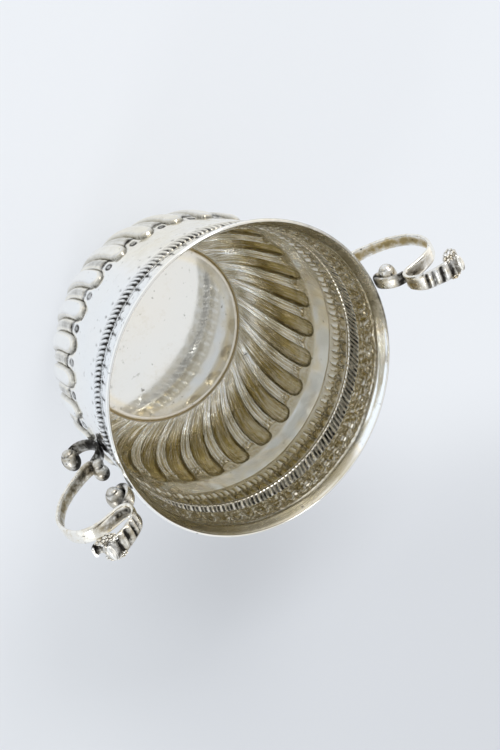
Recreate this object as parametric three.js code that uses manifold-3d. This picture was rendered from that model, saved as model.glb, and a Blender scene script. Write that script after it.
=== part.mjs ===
// A silver porringer: a round bowl with swirled lobes on a low foot, and two cast scroll handles.
// Lengths are millimetres and angles degrees. +Z is up, +X runs out through the right handle, and
// the origin is on the table under the middle of the foot.
import * as THREE from "three";
import { mergeVertices } from "three/addons/utils/BufferGeometryUtils.js";
import Module from "manifold-3d";

// Bowl, heights in order from the table up
const foot_height = 2.25;
const solder_gap = 0.3; // film of solder between two pieces
const belly_height = 28.5; // the lobed part
const band_height = 17.8; // the smooth band over the lobes
const cord_height = 5.6; // the roped girdle
const lip_height = 12; // the flared part over the girdle

// Bowl, radii of the outer face
const neck_radius = 45.75; // under the girdle
const lip_flare = 4.25;
const band_taper = 1.55;
const base_radius = 30.5;
const belly_fullness = 2.2; // 2 makes the belly a quarter of an ellipse, more makes it squarer
const flare_power = 1.8; // how late the lip turns outwards

// Bowl, sheet and girdle
const wall = 0.8;
const lip_edge = 1.1; // thickness of the hammered edge
const lip_round_share = 0.4; // of that thickness, rounded over at the top
const cord_rise = 0.5;
const cord_crest_shares = [0.3, 0.7]; // of the cord's height, where its flat crest starts and ends

// Swirled lobes
const lobe_count = 26;
const lobe_rise = 1.3;
const flute_depth = 0.5;
const swirl_angle = 20.5; // how far a lobe leans round between its tip and the base
const swirl_power = 2.1; // more makes a lobe start straighter at its tip
const lobe_width_share = 0.58; // of the pitch, the rest is flute
const lobe_tip_share = 0.12; // of the belly, where a lobe swells from nothing
const lobe_end_share = 0.93; // where it has died away over the base
const lobe_fade_share = 0.2;

// Foot wire
const foot_radius = 31.6;
const foot_width = 2.6;
const foot_step = 0.5; // depth of its moulding
const foot_bevel_share = 0.25; // of its height
const foot_bead_share = 0.5;
const foot_neck_share = 0.65;

// Handles
const handle_reach = 21.2; // from the seat on the lip to the middle of the widest bend
const bar_width = 4.2;
const heel_width = 5; // of the bar at the volute
const bar_thickness = 1.5;
const bend_width = 5; // of the bar where it turns over the top
const lower_seat_drop = 30; // from the lip's edge down to where the lower scroll is soldered
const upper_seat_drop = 1.2;
const seat_bite = 0.2; // filed off the scrolls' backs to seat them on the bowl
const scroll_size = 10; // spread of each small scroll
const scroll_thickness = 1.5;
const scroll_width = 4;
const lower_ball_radius = 3;
const upper_ball_radius = 2.6;
const volute_radius = 2.2; // the pair of beads that ends the bar inside the loop
const volute_spread = 1.9;
const volute_place_shares = [-0.3, 1.6]; // in and up from the bar's end, of the bead's radius
const loop_bottom_share = 0.77; // how far over the lower seat the bar starts, of the scroll's size
const loop_top_share = 0.96; // and over the upper seat where it turns back

// Thumb-pieces
const thumb_rise = 12.4;
const thumb_reach = 11;
const thumb_width = 5.8;
const thumb_thickness = 1.9;
const rib_count = 5;
const rib_depth = 0.45;
const leaf_size = 8;

// Worked out from the sizes above
const base_height = foot_height + solder_gap;
const shoulder_height = base_height + belly_height;
const shoulder_radius = neck_radius - band_taper;
const girdle_height = shoulder_height + band_height;
const flare_height = cord_height + lip_height;
const rim_height = girdle_height + flare_height;
const rim_radius = neck_radius + lip_flare;
const lip_round = lip_edge * lip_round_share;

// How finely the round shapes are cut into flats
const weld_share = 1e-3; // of the sheet's thickness: points closer than this are one
const ball_flats = 12;
const ball_rows = 7;
const leaf_flats = 10;
const foot_flats_per_lobe = 2;
const loop_steps = 36;
const turn_steps = 2;
const steps_per_rib = 4;
const scroll_steps = 22;

const wasm = await Module();
wasm.setup();

// The solid inside a closed geometry, for joining and cutting.
function solidOf(geometry) {
  const bare = geometry.clone();
  bare.deleteAttribute("normal");
  bare.deleteAttribute("uv");
  const merged = mergeVertices(bare, wall * weld_share);
  const mesh = new wasm.Mesh({
    numProp: 3,
    vertProperties: merged.attributes.position.array,
    triVerts: new Uint32Array(merged.index.array),
  });
  return new wasm.Manifold(mesh);
}

function geometryOf(solid) {
  const mesh = solid.getMesh();
  const geometry = new THREE.BufferGeometry();
  geometry.setAttribute("position", new THREE.BufferAttribute(mesh.vertProperties, mesh.numProp));
  geometry.setIndex(new THREE.BufferAttribute(mesh.triVerts, 1));
  geometry.computeVertexNormals();
  return geometry;
}

function joined(solids) {
  return solids.reduce((all, solid) => all.add(solid));
}

// A closed skin over a row of rings. Every ring has the same number of points, in the same turning
// sense, and a single point closes each end.
function skinOver(rings, first_point, last_point) {
  const size = rings[0].length;
  const points = [...rings.flat(), first_point, last_point];
  const faces = [];
  rings.slice(1).forEach((ring, row) => {
    ring.forEach((point, i) => {
      const here = row * size + i;
      const next = row * size + ((i + 1) % size);
      faces.push(here, next, next + size, here, next + size, here + size);
    });
  });
  const last_row = (rings.length - 1) * size;
  rings[0].forEach((point, i) => {
    const next = (i + 1) % size;
    faces.push(next, i, points.length - 2);
    faces.push(last_row + i, last_row + next, points.length - 1);
  });
  const geometry = new THREE.BufferGeometry();
  geometry.setAttribute("position", new THREE.Float32BufferAttribute(points.flat(), 3));
  geometry.setIndex(faces);
  geometry.computeVertexNormals();
  return geometry;
}

// Bowl: one raised sheet. Its wall is a list of rows, each with its radius, its height and, in the
// belly, how far down it is from the lobes' tips (0) to the base (1).

// The belly is a quarter of a squared ellipse, from flat over the base to upright at the shoulder.
function bellyRow(turn_share) {
  const angle = (turn_share * Math.PI) / 2;
  const power = 2 / belly_fullness;
  return {
    radius: base_radius + (shoulder_radius - base_radius) * Math.sin(angle) ** power,
    height: shoulder_height - belly_height * Math.cos(angle) ** power,
    down: 1 - turn_share,
  };
}

// The girdle and the lip share one curve, which leaves the neck upright and turns outwards.
function flareRow(flare_share, rise) {
  return {
    radius: neck_radius + lip_flare * flare_share ** flare_power + rise,
    height: girdle_height + flare_height * flare_share,
    down: 0,
  };
}

function bandRow(band_share) {
  return {
    radius: shoulder_radius + band_taper * band_share,
    height: shoulder_height + band_height * band_share,
    down: 0,
  };
}

const belly_turn_shares = [0, 0.1, 0.24, 0.4, 0.56, 0.72, 0.85, 0.94, 1];
const cord_share = cord_height / flare_height;
const lip_turn_shares = [0.4, 0.78];

const wall_rows = [
  ...belly_turn_shares.map(bellyRow),
  flareRow(0, 0),
  ...cord_crest_shares.map((share) => flareRow(cord_share * share, cord_rise)),
  flareRow(cord_share, 0),
  ...lip_turn_shares.map((share) => flareRow(cord_share + (1 - cord_share) * share, 0)),
];

const rim_rows = [
  { radius: rim_radius, height: rim_height - lip_round, down: 0 },
  { radius: rim_radius - lip_edge / 2, height: rim_height, down: 0 },
  { radius: rim_radius - lip_edge, height: rim_height - lip_round, down: 0 },
];

// The direction out of the wall at a row, square to the line between the rows beside it.
function outwards(rows, i) {
  const below = rows[Math.max(i - 1, 0)];
  const above = rows[Math.min(i + 1, rows.length - 1)];
  const along = new THREE.Vector2(above.radius - below.radius, above.height - below.height);
  return i === 0 ? new THREE.Vector2(0, -1) : new THREE.Vector2(along.y, -along.x).normalize();
}

const half_pitch_share = 0.5;

// How far a lobe or a flute stands out of the wall. Across a lobe it is half an ellipse, across a
// flute a shallow curve. Both start round at the tip and die away over the base.
function lobeHeight(across, down) {
  const start = Math.sqrt(1 - (1 - Math.min(1, down / lobe_tip_share)) ** 2);
  const end = THREE.MathUtils.clamp((lobe_end_share - down) / lobe_fade_share, 0, 1);
  const half_lobe = lobe_width_share / 2;
  const off_crest = Math.abs(across);
  const lobe = lobe_rise * Math.sqrt(Math.max(0, 1 - (off_crest / half_lobe) ** 2));
  const off_flute = (half_pitch_share - off_crest) / (half_pitch_share - half_lobe);
  const flute = -flute_depth * Math.max(0, 1 - off_flute ** 2);
  return (off_crest < half_lobe ? lobe : flute) * start * end;
}

// One ring of points round the bowl, five to a lobe: its two edges, two on its crest and one in
// the flute beside it. depth is how far the ring lies inside the outer face.
const lobe_crest_shares = [-1, -0.4, 0.4, 1];
const lobe_place_shares = [
  -half_pitch_share,
  ...lobe_crest_shares.map((share) => (share * lobe_width_share) / 2),
];

function bowlRing(row, out, depth) {
  const swirl = swirl_angle * row.down ** swirl_power;
  return Array.from({ length: lobe_count }, (_, lobe) =>
    lobe_place_shares.map((across) => {
      const angle = THREE.MathUtils.degToRad(((lobe + across) * 360) / lobe_count + swirl);
      const shift = lobeHeight(across, row.down) - depth;
      const radius = row.radius + out.x * shift;
      return [radius * Math.cos(angle), radius * Math.sin(angle), row.height + out.y * shift];
    }),
  ).flat();
}

function bowlBody() {
  const outer = wall_rows.map((row, i) => bowlRing(row, outwards(wall_rows, i), 0));
  const edge = rim_rows.map((row) => bowlRing(row, new THREE.Vector2(1, 0), 0));
  const inner = wall_rows.map((row, i) => bowlRing(row, outwards(wall_rows, i), wall));
  return skinOver(
    [...outer, ...edge, ...inner.reverse()],
    [0, 0, base_height],
    [0, 0, base_height + wall],
  );
}

// Foot: a flat wire with one moulded step, closed round the axis.
function footRing() {
  const inside = foot_radius - foot_width;
  const outline = [
    [inside, 0],
    [foot_radius - foot_step / 2, 0],
    [foot_radius, foot_height * foot_bevel_share],
    [foot_radius, foot_height * foot_bead_share],
    [foot_radius - foot_step, foot_height * foot_neck_share],
    [foot_radius - foot_step, foot_height],
    [inside, foot_height],
    [inside, 0],
  ].map(([radius, height]) => new THREE.Vector2(radius, height));
  return new THREE.LatheGeometry(outline, lobe_count * foot_flats_per_lobe).rotateX(Math.PI / 2);
}

// Handles: every piece is worked out for the right one, in the XZ plane, as places [x, z].

// The room that the bowl takes, with its lobes at full height and the film of solder round it.
function bowlRoom() {
  const rows = [...wall_rows, rim_rows[0]];
  const outline = rows.map(({ radius, height, down }) => {
    const room = solder_gap + (down > 0 ? lobe_rise : 0);
    return new THREE.Vector2(radius + room, height);
  });
  const bottom = new THREE.Vector2(0, base_height);
  const top = new THREE.Vector2(0, rim_height - lip_round);
  const around = lobe_count * lobe_place_shares.length;
  return new THREE.LatheGeometry([bottom, ...outline, top], around).rotateX(Math.PI / 2);
}

// The sides of a bent bar's section, as shares of its width and thickness. The right side faces
// out of the loop. One side is crowned and the other dished, and in the thumb-piece they change
// places.
const crowned_side = { shoulder_share: 0.36, middle_share: 0.5 };
const dished_side = { shoulder_share: 0.42, middle_share: 0.2 };
const section_inset_share = 0.36; // of the width, from the middle to the shoulder

function sectionOf({ width, thickness, right, left, rib }) {
  const edge = width / 2;
  const inset = width * section_inset_share;
  return [
    [edge, 0],
    [inset, -thickness * left.shoulder_share - rib],
    [0, -thickness * left.middle_share - rib],
    [-inset, -thickness * left.shoulder_share - rib],
    [-edge, 0],
    [-inset, thickness * right.shoulder_share],
    [0, thickness * right.middle_share],
    [inset, thickness * right.shoulder_share],
  ];
}

// A bar bent along a curve. At each share of its length, shapeAt gives its section, and growth is
// added all round.
function bentBar(places, length_shares, shapeAt, growth) {
  const curve = new THREE.CatmullRomCurve3(places.map(([x, z]) => new THREE.Vector3(x, 0, z)));
  curve.curveType = "centripetal";
  const rings = length_shares.map((share) => {
    const place = curve.getPointAt(share);
    const along = curve.getTangentAt(share);
    return sectionOf(shapeAt(share)).map(([across, out]) => {
      const shift = out + Math.sign(out) * growth;
      const side = across + Math.sign(across) * growth;
      return [place.x + along.z * shift, side, place.z - along.x * shift];
    });
  });
  const first = curve.getPointAt(0);
  const last = curve.getPointAt(1);
  return skinOver(rings, first.toArray(), last.toArray());
}

function evenShares(steps) {
  return Array.from({ length: steps + 1 }, (_, i) => i / steps);
}

function ball(radius, [x, z], y = 0) {
  return new THREE.SphereGeometry(radius, ball_flats, ball_rows).translate(x, y, z);
}

// Places on a small scroll: shares of its size, from the seat that its back rests on.
function fromSeat(seat, shares) {
  return shares.map(([out_share, up_share]) => [
    seat[0] + out_share * scroll_size,
    seat[1] + up_share * scroll_size,
  ]);
}

const seat_offset = solder_gap + scroll_thickness / 2 - seat_bite;
const lower_seat_share = (rim_height - lower_seat_drop - shoulder_height) / band_height;
const lower_seat_row = bandRow(lower_seat_share);
const lower_seat = [lower_seat_row.radius + seat_offset, lower_seat_row.height];
const upper_seat = [rim_radius + seat_offset, rim_height - upper_seat_drop];

// From the ball, round the back of the curl, to where the scroll meets the bar.
const lower_scroll_shares = [
  [0.84, -0.42],
  [0.74, -0.61],
  [0.54, -0.72],
  [0.32, -0.68],
  [0.14, -0.51],
  [0.03, -0.26],
  [0, 0],
  [0.06, 0.3],
  [0.24, 0.55],
  [0.5, 0.72],
];
const upper_scroll_shares = [
  [0.4, -0.14],
  [0.34, -0.3],
  [0.2, -0.38],
  [0.06, -0.25],
  [0, 0],
  [0.04, 0.3],
  [0.15, 0.58],
  [0.34, 0.78],
  [0.56, 0.88],
];
const lower_ball_shares = [0.84, -0.37];
const upper_ball_shares = [0.46, -0.03];

// The bar: round the loop from inside the volute, then back over itself into the thumb-piece.
const loop_shares = [
  [0, 0.055],
  [0.06, 0],
  [0.187, 0.005],
  [0.38, 0.059],
  [0.58, 0.134],
  [0.745, 0.225],
  [0.868, 0.336],
  [0.953, 0.446],
  [1, 0.59],
  [0.986, 0.759],
  [0.896, 0.896],
  [0.754, 0.971],
  [0.589, 0.997],
  [0.437, 1],
  [0.32, 1],
  [0.23, 1.03],
];
const thumb_shares = [
  [0, 0.25],
  [0.036, 0.468],
  [0.18, 0.677],
  [0.418, 0.83],
  [0.7, 0.935],
  [1, 1],
];
const thumb_root_share = 0.19;
const loop_bottom = lower_seat[1] + scroll_size * loop_bottom_share;
const loop_top = upper_seat[1] + scroll_size * loop_top_share;
const thumb_root = [upper_seat[0] + handle_reach * thumb_root_share, loop_top];

const bar_places = [
  ...loop_shares.map(([out_share, up_share]) => [
    upper_seat[0] + out_share * handle_reach,
    loop_bottom + up_share * (loop_top - loop_bottom),
  ]),
  ...thumb_shares.map(([out_share, up_share]) => [
    thumb_root[0] + out_share * thumb_reach,
    thumb_root[1] + up_share * thumb_rise,
  ]),
];
const volute_place = [
  upper_seat[0] + volute_radius * volute_place_shares[0],
  loop_bottom + volute_radius * volute_place_shares[1],
];

// Where the bar changes its section, as shares of its length from the volute.
const heel_end_share = 0.2;
const bend_start_share = 0.3;
const bend_end_share = 0.5;
const thumb_blend_share = 0.8;
const thumb_start_share = 0.83;
const rib_start_share = 0.87;

function barShape(share) {
  const thumb = THREE.MathUtils.smoothstep(share, thumb_blend_share, rib_start_share);
  const heel = THREE.MathUtils.smoothstep(share, 0, heel_end_share);
  const bend_share = THREE.MathUtils.smoothstep(share, bend_start_share, bend_end_share);
  const bend = bend_share * (1 - thumb);
  const along_ribs = Math.max(0, (share - rib_start_share) / (1 - rib_start_share));
  const mix = THREE.MathUtils.lerp;
  const side = (from, to) => ({
    shoulder_share: mix(from.shoulder_share, to.shoulder_share, thumb),
    middle_share: mix(from.middle_share, to.middle_share, thumb),
  });
  return {
    width: mix(mix(mix(heel_width, bar_width, heel), bend_width, bend), thumb_width, thumb),
    thickness: mix(bar_thickness, thumb_thickness, thumb),
    right: side(crowned_side, dished_side),
    left: side(dished_side, crowned_side),
    rib: rib_depth * Math.abs(Math.sin(Math.PI * rib_count * along_ribs)),
  };
}

function sharesBetween(from, to, steps) {
  return evenShares(steps)
    .slice(1)
    .map((share) => from + share * (to - from));
}

const bar_length_shares = [
  0,
  ...sharesBetween(0, thumb_start_share, loop_steps),
  ...sharesBetween(thumb_start_share, rib_start_share, turn_steps),
  ...sharesBetween(rib_start_share, 1, rib_count * steps_per_rib),
];

function handleBar() {
  const bar = solidOf(bentBar(bar_places, bar_length_shares, barShape, 0));
  const beads = [-1, 1].map((side) =>
    solidOf(ball(volute_radius, volute_place, side * volute_spread)),
  );
  return joined([bar, ...beads]).subtract(solidOf(bowlRoom()));
}

// The room that the bar takes, with the film of solder round it.
function barRoom() {
  const bar = solidOf(bentBar(bar_places, bar_length_shares, barShape, solder_gap));
  const end = bar_places[bar_places.length - 1];
  const beads = [-1, 1].map((side) =>
    solidOf(ball(volute_radius + solder_gap, volute_place, side * volute_spread)),
  );
  const tip = solidOf(ball(thumb_thickness / 2 + solder_gap, end));
  return joined([bar, tip, ...beads]);
}

// A small scroll: a flat bar curled into a C, with a ball on its free end.
function smallScroll(seat, shares, ball_shares, ball_radius) {
  const shape = () => ({
    width: scroll_width,
    thickness: scroll_thickness,
    right: crowned_side,
    left: crowned_side,
    rib: 0,
  });
  const curl = solidOf(bentBar(fromSeat(seat, shares), evenShares(scroll_steps), shape, 0));
  const [ball_place] = fromSeat(seat, [ball_shares]);
  return joined([curl, solidOf(ball(ball_radius, ball_place))])
    .subtract(solidOf(bowlRoom()))
    .subtract(barRoom());
}

// The leaf that ends the thumb-piece: a cross bead on top, and three lobes that hang outwards.
// Each swelling is an ellipsoid, placed and sized in shares of the leaf's size, and leaning.
const leaf_swellings = [
  { place_shares: [0.22, 0.22], y_share: 0, size_shares: [0.19, 0.34, 0.18], lean: 0 },
  { place_shares: [0.18, 0], y_share: 0, size_shares: [0.22, 0.38, 0.2], lean: 0 },
  { place_shares: [0.32, -0.44], y_share: 0, size_shares: [0.16, 0.22, 0.42], lean: -14 },
  { place_shares: [0.25, -0.34], y_share: 0.29, size_shares: [0.15, 0.18, 0.32], lean: -8 },
  { place_shares: [0.25, -0.34], y_share: -0.29, size_shares: [0.15, 0.18, 0.32], lean: -8 },
];

function thumbLeaf() {
  const [end_x, end_z] = bar_places[bar_places.length - 1];
  const swellings = leaf_swellings.map(({ place_shares, y_share, size_shares, lean }) => {
    const [long, wide, high] = size_shares.map((share) => share * leaf_size);
    return solidOf(
      new THREE.SphereGeometry(1, leaf_flats, ball_rows)
        .scale(long, wide, high)
        .rotateY(THREE.MathUtils.degToRad(lean))
        .translate(
          end_x + place_shares[0] * leaf_size,
          y_share * leaf_size,
          end_z + place_shares[1] * leaf_size,
        ),
    );
  });
  return joined(swellings).subtract(barRoom());
}

// Finishes: bright outside, and the castings a little greyer.
const polished_silver = { color: 0xe2dfd6, roughness: 0.22, metalness: 1 };
const cast_silver = { color: 0xc9c5b8, roughness: 0.32, metalness: 1 };

function piece(name, geometry, finish) {
  const mesh = new THREE.Mesh(geometry, new THREE.MeshStandardMaterial(finish));
  mesh.name = name;
  return mesh;
}

// One handle's four castings, built facing +X.
function handle(side) {
  const group = new THREE.Group();
  const lower = smallScroll(lower_seat, lower_scroll_shares, lower_ball_shares, lower_ball_radius);
  const upper = smallScroll(upper_seat, upper_scroll_shares, upper_ball_shares, upper_ball_radius);
  group.add(
    piece(side + "_handle_bar", geometryOf(handleBar()), cast_silver),
    piece(side + "_thumb_leaf", geometryOf(thumbLeaf()), cast_silver),
    piece(side + "_lower_scroll", geometryOf(lower), cast_silver),
    piece(side + "_upper_scroll", geometryOf(upper), cast_silver),
  );
  return group;
}

const porringer = new THREE.Group();
porringer.name = "porringer";
porringer.add(
  piece("bowl_body", bowlBody(), polished_silver),
  piece("foot_ring", footRing(), polished_silver),
);

const right_handle = handle("right");
const left_handle = handle("left");
left_handle.rotation.z = Math.PI;
porringer.add(right_handle, left_handle);

export default porringer;
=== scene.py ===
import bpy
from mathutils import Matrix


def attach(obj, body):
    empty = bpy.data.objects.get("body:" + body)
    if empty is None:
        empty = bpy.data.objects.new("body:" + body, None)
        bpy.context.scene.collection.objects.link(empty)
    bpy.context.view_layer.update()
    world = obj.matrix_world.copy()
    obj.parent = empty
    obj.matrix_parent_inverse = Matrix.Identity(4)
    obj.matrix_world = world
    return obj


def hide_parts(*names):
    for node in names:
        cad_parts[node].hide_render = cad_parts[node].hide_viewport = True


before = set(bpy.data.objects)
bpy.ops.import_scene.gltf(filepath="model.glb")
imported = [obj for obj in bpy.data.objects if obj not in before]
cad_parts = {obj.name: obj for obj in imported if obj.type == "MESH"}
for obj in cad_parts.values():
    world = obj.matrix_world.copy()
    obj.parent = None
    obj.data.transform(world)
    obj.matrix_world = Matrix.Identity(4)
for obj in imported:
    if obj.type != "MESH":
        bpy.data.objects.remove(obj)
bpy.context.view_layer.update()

import math
from functools import partial
import bpy
import numpy as np
from mathutils import Matrix, Vector

# The swirled belly. The bowl is one disc of sterling sheet, raised with hammers. Twenty-six lobes
# are pushed out from inside and lean round towards the base, with flutes between them. Chased
# lines follow the lobes and the flutes, and a ring is punched over each flute's end.

MM, SHEET = 0.001, 0.8
BASE_RADIUS, SHOULDER_RADIUS, NECK_RADIUS = 30.5, 44.2, 45.75
BASE_HEIGHT, SHOULDER_HEIGHT, GIRDLE_HEIGHT, RIM_HEIGHT = 2.55, 31.05, 48.85, 66.45
BELLY_FULLNESS, LIP_FLARE, LIP_TURN, TURN_HEIGHT = 2.2, 2.9, 1.3, 62.4
LOBES, SWIRL, SWIRL_POWER, BELLY_TOP = 26, math.radians(20.5), 2.1, 39.7
SEAM_TURN, ROW_SPREAD, LOBE_RISE, FLUTE_DEPTH = 0.035, 1.15, 1.6, 0.55
LOBE_HALF, TROUGH_HALF, CHASED_LINE, FINE_LINE, FLUTE_END = 0.29, 0.315, 0.325, 0.43, 27.2
TIP_TOP, TIP_SPRING, HOLLOW_SPRING, RING_HEIGHT = 31.2, 27.2, 25.6, 29.9
BLUE, CLEAN, STRAW = (0.92, 0.952, 0.975, 1), (0.96, 0.955, 0.93, 1), (1.0, 0.958, 0.85, 1)
OLIVE, OXIDE = (0.41, 0.33, 0.135, 1), (0.035, 0.032, 0.028, 1)


def new_node(tree, kind, feeds, **settings):
    """A shader node with its settings. Each feed, for the socket of that name or number, is a
    value or the output of another node."""
    node = tree.nodes.new("ShaderNode" + kind)
    for name, value in settings.items():
        setattr(node, name, value)
    for socket, feed in feeds.items():
        if isinstance(feed, bpy.types.NodeSocket):
            tree.links.new(feed, node.inputs[socket])
        else:
            node.inputs[socket].default_value = feed
    return node


def maths(tree, kind, a, b=0.0, clamp=False):
    """The sum, product and so on of a and b, held between 0 and 1 if clamp is true."""
    return new_node(tree, "Math", {0: a, 1: b}, operation=kind, use_clamp=clamp).outputs[0]


def mixed(tree, share, first, last):
    """A colour that goes from first to last by share."""
    feeds = {"Factor": share, "A": first, "B": last}
    return new_node(tree, "Mix", feeds, data_type="RGBA").outputs["Result"]


def node_group(name, sockets):
    """An empty node group with its named sockets: the group, what it is given, what it gives."""
    group = bpy.data.node_groups.new(name, "ShaderNodeTree")
    for socket, way, kind in sockets:
        group.interface.new_socket(socket, in_out=way, socket_type="NodeSocket" + kind)
    given = group.nodes.new("NodeGroupInput").outputs
    return group, given, group.nodes.new("NodeGroupOutput").inputs


def tarnish_group():
    """Node group for the skin of the silver. Its film runs from blue through clean and straw to
    clean by 2.5 * tarnish + 0.3 + 0.8 * (a broad noise - 0.5). It is stained by worn = tarnish +
    cloud * (0.7 * (patches + mottle + specks) - 1.05), and blackened by dirt = oxide * (1.4 *
    specks + 2.2 * mottle - 0.85) + scattered pits. Roughness follows worn and dirt, and height
    the noises."""
    group, given, result = node_group("silver_tarnish", (
        ("Tarnish", "INPUT", "Float"),
        ("Oxide", "INPUT", "Float"),
        ("Cloud", "INPUT", "Float"),
        ("Polish", "INPUT", "Float"),
        ("Stain", "INPUT", "Color"),
        ("Color", "OUTPUT", "Color"),
        ("Roughness", "OUTPUT", "Float"),
        ("Height", "OUTPUT", "Float"),
    ))
    spot = new_node(group, "TexCoord", {}).outputs["Object"]
    add = partial(maths, group, "ADD")
    times = partial(maths, group, "MULTIPLY")

    def noise(scale, detail, rough=0.55):
        """Noise over the piece's own coordinates, with scale lumps to the metre."""
        feeds = {"Vector": spot, "Scale": scale, "Detail": detail, "Roughness": rough}
        return new_node(group, "TexNoise", feeds).outputs["Fac"]

    patches, mottle = noise(70, 4), noise(320, 3)
    specks, hairlines = noise(900, 3, 0.7), noise(2600, 2, 0.6)
    drift = add(times(add(add(patches, mottle), specks), 0.7), -1.05)
    worn = add(given["Tarnish"], times(drift, given["Cloud"]), clamp=True)
    thin = add(times(given["Tarnish"], 2.5), 0.3)
    thin = add(times(add(noise(24, 2), -0.5), 0.8), thin, clamp=True)
    film = new_node(group, "ValToRGB", {"Fac": thin})
    shades = film.color_ramp.elements
    shades[0].color, shades[1].color = BLUE, CLEAN
    for share, colour in ((0.3, CLEAN), (0.52, STRAW), (0.8, CLEAN)):
        shades.new(share).color = colour
    stained = mixed(group, worn, film.outputs["Color"], given["Stain"])
    pits = times(maths(group, "MAXIMUM", add(noise(520, 2), -0.675)), 7)
    pits = times(pits, add(given["Cloud"], 0.3))
    darkening = add(add(times(specks, 1.4), times(mottle, 2.2)), -0.85)
    dirt = add(times(given["Oxide"], darkening), pits, clamp=True)
    group.links.new(mixed(group, dirt, stained, OXIDE), result["Color"])
    gloss = add(add(given["Polish"], times(worn, 0.16)), times(dirt, 0.35))
    gloss = add(gloss, times(add(patches, -0.5), 0.12), clamp=True)
    group.links.new(gloss, result["Roughness"])
    height = add(add(patches, times(specks, 0.05)), times(hairlines, 0.012))
    group.links.new(height, result["Height"])
    return group


TARNISH = tarnish_group()


def silver(name, polish, cloud, dents, stain=OLIVE, metal=1.0):
    """A silver finish: the piece's own tarnish and oxide attributes through the tarnish group. On some
    pieces these also carry painted highlights and shade.
    polish is the roughness of a clean face, cloud how patchy it is, dents the bump in metres.
    Less metal than 1 is a face hazy with fine scratches, which scatter a part of the light."""
    material = bpy.data.materials.new(name)
    material.use_nodes = True
    tree = material.node_tree
    feeds = {"Cloud": cloud, "Polish": polish, "Stain": stain}
    for mask in ("Tarnish", "Oxide"):
        feeds[mask] = new_node(tree, "Attribute", {}, attribute_name=mask.lower()).outputs["Fac"]
    skin = new_node(tree, "Group", feeds, node_tree=TARNISH, name="skin").outputs
    bump = new_node(tree, "Bump", {"Distance": dents, "Height": skin["Height"]}, name="dents")
    shader = tree.nodes["Principled BSDF"].inputs
    shader["Metallic"].default_value = metal
    tree.links.new(skin["Color"], shader["Base Color"])
    tree.links.new(skin["Roughness"], shader["Roughness"])
    tree.links.new(bump.outputs["Normal"], shader["Normal"])
    return material


RAISED_SILVER = silver("raised_silver", polish=0.09, cloud=0.3, dents=0.00006)


def ridge(x, middle, width):
    """exp(-((x - middle) / width) ** 2), a soft line across x."""
    return np.exp(-(((x - middle) / width) ** 2))


def rise(x, start, width):
    """A smooth step from 0 at start to 1 at start + width: 3 t ** 2 - 2 t ** 3."""
    t = np.clip((x - start) / width, 0, 1)
    return t * t * (3 - 2 * t)


def dome(x, power):
    """A rounded top, (1 - x ** 2) to a power, and 0 where x is past 1."""
    return np.clip(1 - x**2, 0, 1) ** power


def metal_mesh(name, skins, finish, node):
    """One mesh object from closed skins, in place of a node. A skin is (points, tarnish, oxide,
    ring): its columns run round, its rows too if ring is true, and otherwise a fan to the mean
    point closes each end."""
    points, tarnish, oxide, quads, fans, start = [], [], [], [], [], 0
    for grid, brown, black, ring in skins:
        rows, columns = grid.shape[:2]
        index = start + np.arange(rows * columns).reshape(rows, columns)
        below = index if ring else index[:-1]
        above = np.roll(index, -1, 0) if ring else index[1:]
        corners = [below, np.roll(below, -1, 1), np.roll(above, -1, 1), above]
        quads.append(np.stack(corners, -1).reshape(-1, 4))
        points.append(grid.reshape(-1, 3))
        tarnish.append(np.broadcast_to(brown, (rows, columns)).reshape(-1))
        oxide.append(np.broadcast_to(black, (rows, columns)).reshape(-1))
        start += rows * columns
        if not ring:
            points.append(np.stack([grid[0].mean(0), grid[-1].mean(0)]))
            tarnish.append(np.array([tarnish[-1][0], tarnish[-1][-1]]))
            oxide.append(np.array([oxide[-1][0], oxide[-1][-1]]))
            first, last = index[0], index[-1]
            fans.append(np.stack([np.roll(first, -1), first, np.full(columns, start)], -1))
            fans.append(np.stack([last, np.roll(last, -1), np.full(columns, start + 1)], -1))
            start += 2
    points = np.concatenate(points) * MM
    quads = np.concatenate(quads)
    fans = np.concatenate(fans) if fans else np.zeros((0, 3), int)
    mesh = bpy.data.meshes.new(name)
    mesh.vertices.add(len(points))
    mesh.vertices.foreach_set("co", points.astype(np.float32).reshape(-1))
    corners = np.concatenate([quads.reshape(-1), fans.reshape(-1)])
    mesh.loops.add(len(corners))
    mesh.loops.foreach_set("vertex_index", corners.astype(np.int32))
    first_fan = 4 * len(quads)
    starts = np.concatenate([np.arange(0, first_fan, 4), first_fan + 3 * np.arange(len(fans))])
    mesh.polygons.add(len(starts))
    mesh.polygons.foreach_set("loop_start", starts.astype(np.int32))
    mesh.update(calc_edges=True)
    for mask, values in (("tarnish", tarnish), ("oxide", oxide)):
        held = mesh.attributes.new(mask, "FLOAT", "POINT")
        held.data.foreach_set("value", np.concatenate(values).astype(np.float32))
    mesh.shade_smooth()
    mesh.set_sharp_from_angle(angle=math.radians(60))
    mesh.materials.append(finish)
    piece = bpy.data.objects.new(name, mesh)
    bpy.context.scene.collection.objects.link(piece)
    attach(piece, "root")
    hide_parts(node)
    return piece


def round_wall(angles, profile, depth):
    """One face of the wall: its profile (radius, height, outward direction), moved by depth along
    that direction and carried round the axis by angles (rows by columns)."""
    radius, height, out = profile
    far = radius[:, None] + out[0][:, None] * depth
    up = height[:, None] + out[1][:, None] * depth
    return np.stack([far * np.cos(angles), far * np.sin(angles), up + 0 * angles], -1)


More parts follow.
